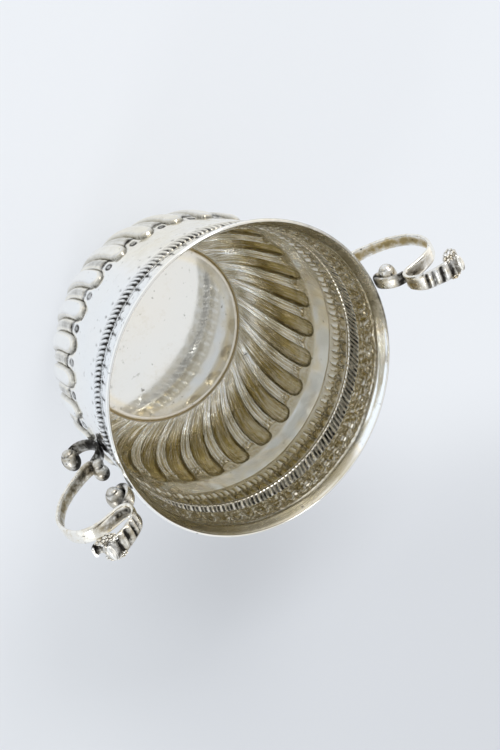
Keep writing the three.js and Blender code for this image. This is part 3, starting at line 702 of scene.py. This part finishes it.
def both_handles(name, skins, node, balls=(), grime=0):
    """The piece on the right handle, and the same turned half round Z for the left one. A ball is
    (points, middle, tarnish, oxide). The right one has 0.65 of the tarnish and grime as further
    oxide. Painted shade darkens one side of each ball, more on the right one, whose balls also
    get 0.15 oxide."""
    right, left = [], []
    turned = np.array([-1, -1, 1])
    for grid, brown, black, ring in skins:
        right.append((grid, 0.65 * np.asarray(brown), black + grime, ring))
        left.append((grid * turned, brown, black, ring))
    for grid, middle, brown, black in balls:
        # Right handle: 0.15 oxide on each ball, and painted shade on its side facing [-0.55, 0.65,
        # 0.5].
        darkening = 0.15 + 0.75 * side_shade(grid, middle, [-0.55, 0.65, 0.5])
        right.append((grid, brown, black + darkening, False))
        # Left handle: painted shade on each ball's side facing [-0.6, -0.75, 0.25] before the half
        # turn.
        darkening = 0.65 * side_shade(grid, middle, [-0.6, -0.75, 0.25])
        left.append((grid * turned, brown, black + darkening, False))
    metal_mesh("right_" + name, right, CAST_SILVER, "right_" + node)
    metal_mesh("left_" + name, left, CAST_SILVER, "left_" + node)


shares = np.concatenate([np.linspace(0, 0.82, 170)[:-1], np.linspace(0.82, 1, 110)])
to_end = (1 - shares) * np.linalg.norm(np.diff(bar_path, axis=0), axis=1).sum()
on_thumb = rise(shares, 0.80, 0.07)
dished = rise(shares, 0.58, 0.14)
width = HEEL_WIDTH + (BAR_WIDTH - HEEL_WIDTH) * rise(shares, 0, 0.2)
width = width + (BEND_WIDTH - width) * rise(shares, 0.3, 0.2)
width = width + (THUMB_WIDTH - width) * on_thumb + (END_WIDTH - THUMB_WIDTH) * rise(shares, 0.9, 0.1)
thickness = BAR_THICKNESS + (THUMB_THICKNESS - BAR_THICKNESS) * dished
slanted = 0.35 * np.cos(np.linspace(0, 2 * math.pi, AROUND, endpoint=False)[None, :])

# Across the thumb-piece run slanting cuts, each at its distance from the end and of its width,
# with a swelling rib after each.
cuts, swells = 0, 0
for middle, wide in RIB_CUTS:
    cuts = cuts + ridge(to_end[:, None] + slanted, middle, wide)
    swells = swells + ridge(to_end[:, None] + slanted, middle - 1.4, 0.7)
ribs = RIB_SWELL * swells - CUT_DEPTH * cuts
grid, v, depth, left_side = ribbon(
    bar_path, shares, width, thickness, 0.7 * (1 - on_thumb), 0.85 * dished, ribs
)

# The inner side of the loop is the most tarnished, and soot fills the hollows, the cuts and the
# corner by the beads.
heel = ridge(shares, 0, 0.03)[:, None]
on_thumb, dished = on_thumb[:, None], dished[:, None]
loop_face = depth * (1 - on_thumb) * left_side
hollow = depth * np.where(left_side, 0.35 * (1 - on_thumb), dished)
slots = cuts * left_side * rise(1 - abs(v), 0, 0.2)
brown = np.clip(0.12 + 0.75 * loop_face + 0.5 * hollow + 0.12 * on_thumb, 0, 1)
black = 0.12 * on_thumb + 0.85 * hollow * rise(depth, 0.35, 0.5) + 0.95 * slots + 0.6 * heel
by_beads = ridge(shares, 0.08, 0.07)[:, None] * left_side
grime = 0.1 * on_thumb + 0.25 * loop_face + 0.3 * by_beads
beads = []
for middle, sizes in (
    ((SEAT_X - 0.5, -1.5, LOOP_LOW + 3.5), (1.75, 1.6, 1.75)),
    ((SEAT_X - 0.2, 2.0, LOOP_LOW + 2.8), (2.4, 2.8, 2.5)),
):
    beads.append((bead(middle, sizes, 24, 40), middle, 0.2, 0.15))
skins = [(grid, brown, np.clip(black, 0, 1), False)]
both_handles("handle_ribbon", skins, "handle_bar", beads, grime)

# The thumb-pieces' leaves. A second casting is soldered over each thumb-piece's end. A bud lies
# across the top, two side lobes are punched all over with grains, and between them a hollow tip
# curls outwards.

END_X, END_Z = 65.88, 87.25

# The grains are the product of two waves, |sin 5a| by |sin 5b|, with every other row set half a
# grain round, and they fade to the poles.
rows, columns = 44, 72
a = np.linspace(-math.pi / 2, math.pi / 2, rows + 2)[1:-1, None]
b = np.linspace(0, 2 * math.pi, columns, endpoint=False)[None, :]
staggered = 5 * b + math.pi / 2 * np.floor(5 * a / math.pi)
grain = abs(np.sin(5 * a)) * abs(np.sin(staggered)) * np.cos(a) ** 0.3
skins = []
for y in (-2.9, 2.9):
    middle = (END_X + 0.9, y, END_Z - 1.9)
    grid = bead(middle, (3.3, 1.45, 1.7), rows, columns, 0.67, 0.8 + 0.34 * grain**0.6)
    skins.append((grid, 0.8 - 0.5 * grain, np.clip(0.95 - 2.2 * grain, 0, 1), False))
for middle, sizes, brown, black in (
    ((END_X + 1.0, 0, END_Z - 0.1), (1.6, 2.9, 1.35), 0.4, 0.75),
    ((END_X + 2.1, 0, END_Z + 0.75), (1.15, 2.75, 1.25), 0.05, 0.0),
    ((END_X + 2.6, 0, END_Z - 1.2), (1.1, 2.4, 1.3), 0.25, 0.3),
):
    skins.append((bead(middle, sizes, 20, 40), brown, black, False))

# The tip is a ribbon cupped on its upper side.
tip_path = np.array([[0.9, -0.6], [1.7, -3.0], [2.5, -5.0], [3.6, -6.0], [4.7, -5.8], [5.2, -4.9]])
shares = np.linspace(0, 1, 48)
width, thickness = 4.6 - 1.4 * rise(shares, 0.5, 0.5), 1.3 + 0 * shares
cupped = 0.9 * rise(shares, 0.1, 0.3)
grid, _, depth, left_side = ribbon(
    tip_path + [END_X, END_Z], shares, width, thickness, cupped, 0 * shares
)
cup = depth * left_side * rise(shares, 0.2, 0.3)[:, None]
skins.append((grid, 0.4 + 0.3 * cup, 0.3 + 0.7 * cup, False))
both_handles("leaf_terminal", skins, "thumb_leaf")

# The small scrolls. Four flat bars, each curled into a C with a ball on its free end. The lower
# ones are soldered to the smooth band and the upper ones under the lip, and dark solder fills
# their corners.

SCROLL, SCROLL_WIDTH, SCROLL_THICKNESS = 10.0, 4.0, 1.8
LOWER_SEAT, UPPER_SEAT = np.array([45.52, 36.45]), np.array([50.85, 65.25])
BALL_SIZES = (2.85, 3.8, 2.95)
lower = np.array([
    [0.84, -0.42], [0.74, -0.61], [0.54, -0.72], [0.32, -0.68], [0.14, -0.51],
    [0.03, -0.26], [0, 0], [0.06, 0.3], [0.24, 0.55], [0.5, 0.72],
])
upper = np.array([
    [0.36, 0.12], [0.22, 0.0], [0.09, -0.01], [0.0, 0.1],
    [0.01, 0.32], [0.12, 0.58], [0.32, 0.78], [0.56, 0.88],
])

# A crease runs round each side of a ball, and the soot stays in it.
rows, columns = 36, 60
a = np.linspace(-math.pi / 2, math.pi / 2, rows + 2)[1:-1, None]
b = np.linspace(0, 2 * math.pi, columns, endpoint=False)[None, :]
crease = ridge(abs(np.cos(a) * np.sin(b)), 0.74, 0.05)
shares = np.linspace(0, 1, 60)
width, thickness, flat = SCROLL_WIDTH + 0 * shares, SCROLL_THICKNESS + 0 * shares, 0 * shares
for name, seat, places, ball_at, solder, stain_at in (
    ("lower", LOWER_SEAT, lower, np.array([0.84, -0.37]), 0.75, 0.6),
    ("upper", UPPER_SEAT, upper, np.array([0.41, 0.17]), 0.15, 0.3),
):
    grid = ribbon(places * SCROLL + seat, shares, width, thickness, flat, flat)[0]
    black = solder * rise(1 - shares, 0, 0.3) + 0.85 * ridge(shares, stain_at, 0.13)
    black = np.clip(black + 0.9 * rise(shares, 0.72, 0.2), 0, 1)[:, None]
    x, up = seat + ball_at * SCROLL
    ball = bead((x, 0, up), BALL_SIZES, rows, columns, 0, 1 - 0.03 * crease)
    balls = [(ball, (x, 0, up), 0.32, 0.15 + 0.6 * crease)]
    both_handles(name + "_scroll_curl", [(grid, 0.35, black, False)], name + "_scroll", balls)

# The table. A plain pale board, wide enough to fill the picture and to light the polished sides.
# It has painted shade, grey paint down the picture on the side away from the broad lamp, and a painted
# shadow, a soft darker patch beside the bowl.

DOWN_THE_PICTURE = math.radians(-30)
PALE_PAINT, SHADE_GREY = (0.825, 0.854, 0.895, 1), (0.69, 0.715, 0.757, 1)
BACKDROP = (0.87, 0.9, 0.945, 1)
bpy.ops.mesh.primitive_plane_add(size=6, location=(0, 0, -0.0001))
board = bpy.context.object
board.name = "table_top"
paint = bpy.data.materials.new("pale_board")
paint.use_nodes = True
tree = paint.node_tree


def smooth_step(tree, value, near, far, first, last):
    """A smooth step of a value, from first at near to last at far."""
    feeds = {"Value": value, "From Min": near, "From Max": far, "To Min": first, "To Max": last}
    return new_node(tree, "MapRange", feeds, interpolation_type="SMOOTHSTEP").outputs["Result"]


spot = new_node(tree, "TexCoord", {}).outputs["Object"]
feeds = {"Vector": spot, "Rotation": (0, 0, DOWN_THE_PICTURE)}
spot = new_node(tree, "Mapping", feeds, vector_type="TEXTURE").outputs["Vector"]
# Painted shadow: a soft darker patch beside the bowl, where the paint is dimmed down to 0.74.
feeds = {"Vector": spot, "Location": (-0.038, 0.07, 0), "Scale": (0.085, 0.06, 1)}
painted_shadow = new_node(tree, "Mapping", feeds, vector_type="TEXTURE").outputs["Vector"]
from_painted_shadow = new_node(tree, "VectorMath", {0: painted_shadow}, operation="LENGTH").outputs["Value"]
over_board = new_node(tree, "SeparateXYZ", {"Vector": spot}).outputs
# Painted shade: grey paint down the picture, weaker to one side.
painted_shade = smooth_step(tree, over_board["Y"], 0.03, 0.085, 0, 1)
painted_shade = maths(tree, "MULTIPLY", painted_shade, smooth_step(tree, over_board["X"], -0.05, 0.05, 1, 0.35))
painted_shadow_dimming = smooth_step(tree, from_painted_shadow, 0, 1, 0.74, 1)
feeds = {0: mixed(tree, painted_shade, PALE_PAINT, SHADE_GREY), "Scale": painted_shadow_dimming}
colour = new_node(tree, "VectorMath", feeds, operation="SCALE").outputs["Vector"]
shader = tree.nodes["Principled BSDF"]
tree.links.new(colour, shader.inputs["Base Color"])
shader.inputs["Roughness"].default_value = 0.9
shader.inputs["Specular IOR Level"].default_value = 0.1
# For camera and glossy rays the board glows pale over its paint, 0.6 of it up the picture and 0.1 down
# it, which lightens its shade and shadow up the picture.
rays = new_node(tree, "LightPath", {}).outputs
seen = maths(tree, "MAXIMUM", rays["Is Camera Ray"], rays["Is Glossy Ray"])
share = maths(tree, "MULTIPLY", seen, smooth_step(tree, over_board["Y"], 0.03, 0.12, 0.6, 0.1))
overlay = new_node(tree, "Emission", {"Color": BACKDROP}).outputs["Emission"]
blend = new_node(tree, "MixShader", {"Fac": share, 1: shader.outputs["BSDF"], 2: overlay})
tree.links.new(blend.outputs["Shader"], tree.nodes["Material Output"].inputs["Surface"])
board.data.materials.append(paint)

# The light. A pale room, warmer on one side and cooler on the other, with a bright window high
# behind the bowl and a dim corner that gives the metal its darks. A broad soft lamp throws the
# shadow, and a small one gives the sparkle.

WARM, COOL = (1, 0.985, 0.96, 1), (0.94, 0.97, 1, 1)
WINDOW, CORNER = (-0.27, 0.5, 0.82), (-0.4, 0.88, 0.2)
world = bpy.data.worlds.new("studio")
bpy.context.scene.world = world
world.use_nodes = True
tree = world.node_tree
way = new_node(tree, "TexCoord", {}).outputs["Generated"]
ways = new_node(tree, "SeparateXYZ", {"Vector": way}).outputs


def around(middle, near, far, inside, outside):
    """A value that goes from inside to outside between two distances from a direction."""
    distance = new_node(tree, "VectorMath", {0: way, 1: middle}, operation="DISTANCE")
    return smooth_step(tree, distance.outputs["Value"], near, far, inside, outside)


feeds = {"Value": ways["Z"], "From Min": 0.1, "From Max": 0.75, "To Min": 1.08, "To Max": 0.7}
bright = new_node(tree, "MapRange", feeds).outputs["Result"]
bright = maths(tree, "ADD", bright, around(WINDOW, 0.25, 0.6, 0.32, 0))
bright = maths(tree, "MULTIPLY", bright, around(CORNER, 0.25, 0.65, 0.3, 1))
feeds = {"Value": ways["X"], "From Min": -0.7, "From Max": 0.7}
tint = mixed(tree, new_node(tree, "MapRange", feeds).outputs["Result"], WARM, COOL)
room = new_node(tree, "VectorMath", {0: tint, "Scale": bright}, operation="SCALE").outputs["Vector"]
camera_ray = new_node(tree, "LightPath", {}).outputs["Is Camera Ray"]
sky = mixed(tree, camera_ray, room, BACKDROP)
tree.links.new(sky, tree.nodes["Background"].inputs["Color"])


def soft_lamp(name, place, aim, size, watts, colour):
    """A square area lamp at place, turned to aim, in metres."""
    lamp = bpy.data.lights.new(name, "AREA")
    lamp.size, lamp.energy, lamp.color = size, watts, colour
    holder = bpy.data.objects.new(name, lamp)
    holder.location = place
    holder.rotation_euler = (Vector(aim) - Vector(place)).to_track_quat("-Z", "Y").to_euler()
    bpy.context.scene.collection.objects.link(holder)


soft_lamp("broad_lamp", (-0.74, -1.17, 0.9), (0, 0, 0.03), 0.55, 8, (1, 0.99, 0.98))
soft_lamp("small_lamp", (0.75, 0.35, 0.55), (0, 0, 0.04), 0.22, 1.3, (1, 1, 1))

# The camera. It looks down into the bowl from the front right, turned well over on its side,
# because the photograph shows the bowl lying.

AZIMUTH, ELEVATION, ROLL = math.radians(28.847), math.radians(55.331), math.radians(116.337)
AIM, DISTANCE = Vector((-0.005906, 0.008433, 0.04708)), 0.44317
across, ahead = math.sin(AZIMUTH), -math.cos(AZIMUTH)
flat, steep = math.cos(ELEVATION), math.sin(ELEVATION)
towards = Vector((across * flat, ahead * flat, steep))
level = Vector((math.cos(AZIMUTH), math.sin(AZIMUTH), 0))
right = level * math.cos(ROLL) + towards.cross(level) * math.sin(ROLL)
up = towards.cross(right)
lens = bpy.data.cameras.new("camera")
lens.sensor_fit, lens.sensor_width, lens.lens = "HORIZONTAL", 36, 100.8
camera = bpy.data.objects.new("camera", lens)
facing = Matrix((right, up, towards)).transposed().to_4x4()
camera.matrix_world = Matrix.Translation(AIM + towards * DISTANCE) @ facing
bpy.context.scene.collection.objects.link(camera)
bpy.context.scene.camera = camera
bpy.context.scene.view_settings.view_transform = "Standard"
